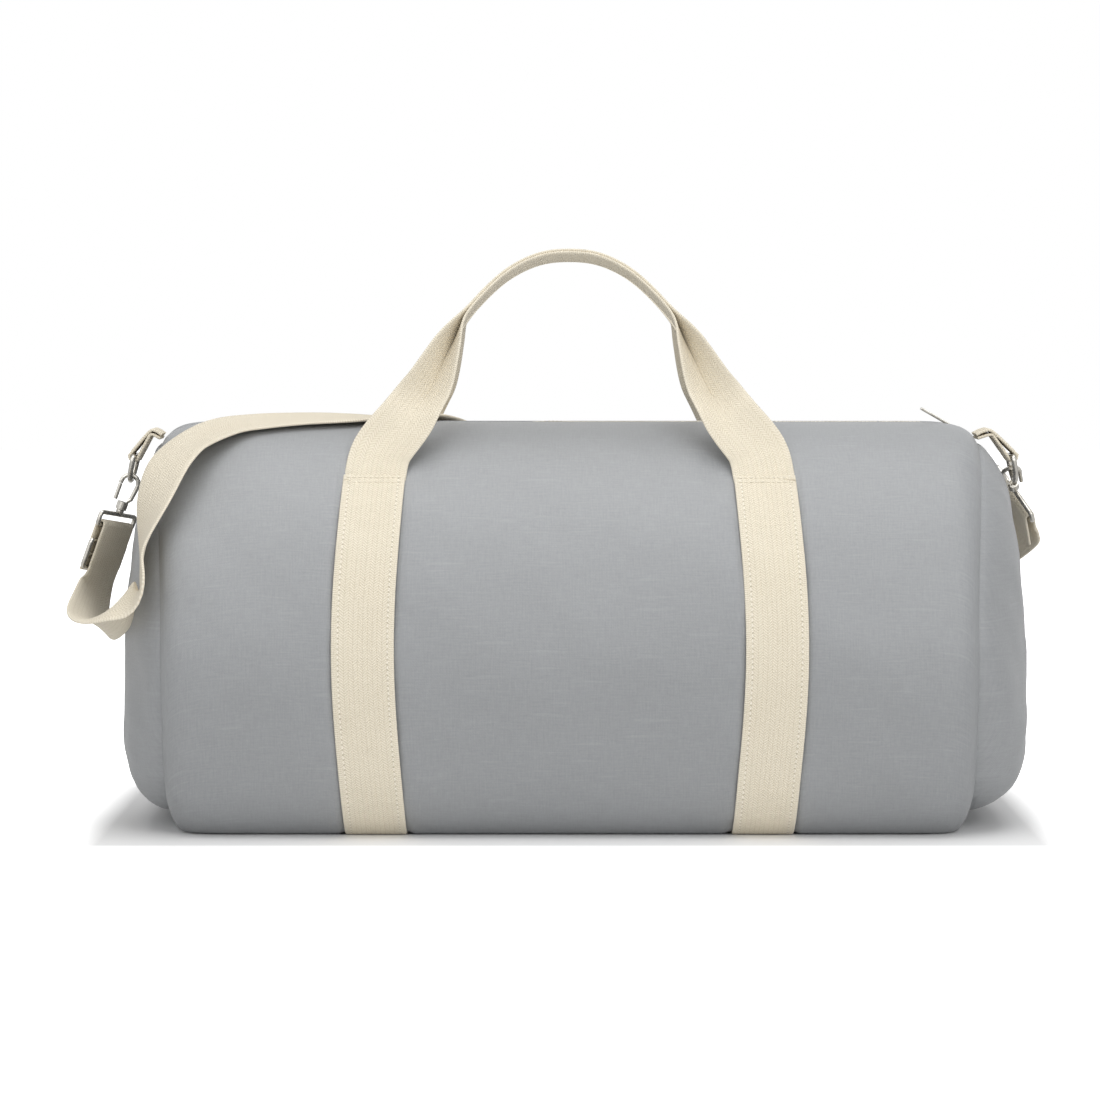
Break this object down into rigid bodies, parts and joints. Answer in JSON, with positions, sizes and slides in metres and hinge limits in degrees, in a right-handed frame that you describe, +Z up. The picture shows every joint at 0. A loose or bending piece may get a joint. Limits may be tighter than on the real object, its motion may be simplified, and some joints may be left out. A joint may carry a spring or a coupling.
{
  "type": "sports bag",
  "caption": "Barrel sports bag in canvas with webbing belts, two carry handles, a long top zip, end rings and a shoulder strap on snap hooks.",
  "frame": {"origin": "centre of the flat base on which the bag stands", "axes": "+X along the barrel towards the end where the zip closes, +Y away from the pictured side, +Z up"},
  "size_m": [0.6245, 0.2629, 0.3658],
  "materials": {
    "grey_canvas": "matt woven cotton canvas",
    "cream_webbing": "matt herringbone cotton webbing",
    "cream_tape": "matt woven tape",
    "nickel": "nickel plate",
    "zip_metal": "satin metal"
  },
  "bodies": {
    "bag": {"barrel_panel": "grey_canvas", "end_panel_left": "grey_canvas", "end_panel_right": "grey_canvas", "seam_binding_left": "cream_tape", "seam_binding_right": "cream_tape", "belt_left": "cream_webbing", "belt_right": "cream_webbing", "zip_tape_left_front": "cream_tape", "zip_tape_left_rear": "cream_tape", "zip_tape_right_front": "cream_tape", "zip_tape_right_rear": "cream_tape", "zip_chain_left_front": "zip_metal", "zip_chain_left_rear": "zip_metal", "zip_chain_right_front": "zip_metal", "zip_chain_right_rear": "zip_metal", "zip_stop_left": "zip_metal", "zip_stop_right": "zip_metal", "tab_left": "cream_webbing", "tab_right": "cream_webbing", "hook_loop_left": "nickel", "hook_loop_right": "nickel", "strap_adjuster_end": "cream_webbing", "strap_loop": "cream_webbing", "strap_top": "cream_webbing", "strap_rear": "cream_webbing", "strap_right_end": "cream_webbing", "strap_slide": "nickel"},
    "mouth_front": {"mouth_front": "grey_canvas", "zip_tape_front": "cream_tape", "zip_teeth_front": "zip_metal"},
    "mouth_rear": {"mouth_rear": "grey_canvas", "zip_tape_rear": "cream_tape", "zip_teeth_rear": "zip_metal"},
    "handle_front": {"handle_front": "cream_webbing"},
    "handle_rear": {"handle_rear": "cream_webbing"},
    "slider": {"zip_slider": "nickel"},
    "puller": {"zip_puller": "nickel"},
    "ring_left": {"ring_left": "nickel"},
    "ring_right": {"ring_right": "nickel"},
    "hook_left": {"hook_left": "nickel"},
    "hook_right": {"hook_right": "nickel"},
    "gate_left": {"gate_left": "nickel"},
    "gate_right": {"gate_right": "nickel"}
  },
  "joints": [
    {"name": "mouth_front_turn", "type": "hinge", "parent": "bag", "child": "mouth_front", "pos_m": [0, -0.042, 0.24269], "axis": [1, 0, 0], "range_deg": [0, 60]},
    {"name": "mouth_rear_turn", "type": "hinge", "parent": "bag", "child": "mouth_rear", "pos_m": [0, 0.042, 0.24269], "axis": [-1, 0, 0], "range_deg": [0, 60]},
    {"name": "handle_front_turn", "type": "hinge", "parent": "bag", "child": "handle_front", "pos_m": [0, -0.07446, 0.22118], "axis": [1, 0, 0], "range_deg": [0, 140]},
    {"name": "handle_rear_turn", "type": "hinge", "parent": "bag", "child": "handle_rear", "pos_m": [0, 0.07446, 0.22118], "axis": [-1, 0, 0], "range_deg": [0, 140]},
    {"name": "zip_travel", "type": "hinge", "parent": "bag", "child": "slider", "pos_m": [0.05, 0, -2.93922], "axis": [0, 1, 0], "range_deg": [-5.49, 0]},
    {"name": "puller_turn", "type": "hinge", "parent": "slider", "child": "puller", "pos_m": [0.24574, 0, 0.24669], "axis": [0, 1, 0], "range_deg": [0, 120]},
    {"name": "ring_left_turn", "type": "hinge", "parent": "bag", "child": "ring_left", "pos_m": [-0.275, 0, 0.2295], "axis": [0, 1, 0], "range_deg": [0, 3.5]},
    {"name": "ring_right_turn", "type": "hinge", "parent": "bag", "child": "ring_right", "pos_m": [0.2805, 0, 0.2295], "axis": [0, -1, 0], "range_deg": [0, 3.5]},
    {"name": "hook_left_swivel", "type": "hinge", "parent": "bag", "child": "hook_left", "pos_m": [-0.28329, 0, 0.20022], "axis": [-0.342, 0, -0.9397], "range_deg": [-15, 15]},
    {"name": "hook_right_swivel", "type": "hinge", "parent": "bag", "child": "hook_right", "pos_m": [0.28517, 0.02311, 0.21112], "axis": [0.1995, 0.7949, -0.573], "range_deg": [-15, 15]},
    {"name": "gate_left_turn", "type": "hinge", "parent": "hook_left", "child": "gate_left", "pos_m": [-0.28791, 0, 0.20361], "axis": [0, 1, 0], "range_deg": [0, 25], "stiffness_Nm_per_rad": 0.003, "springref_deg": -8.59},
    {"name": "gate_right_turn", "type": "hinge", "parent": "hook_right", "child": "gate_right", "pos_m": [0.29019, 0.02141, 0.2133], "axis": [0.1387, -0.6018, -0.7865], "range_deg": [0, 25], "stiffness_Nm_per_rad": 0.003, "springref_deg": -8.59}
  ]
}
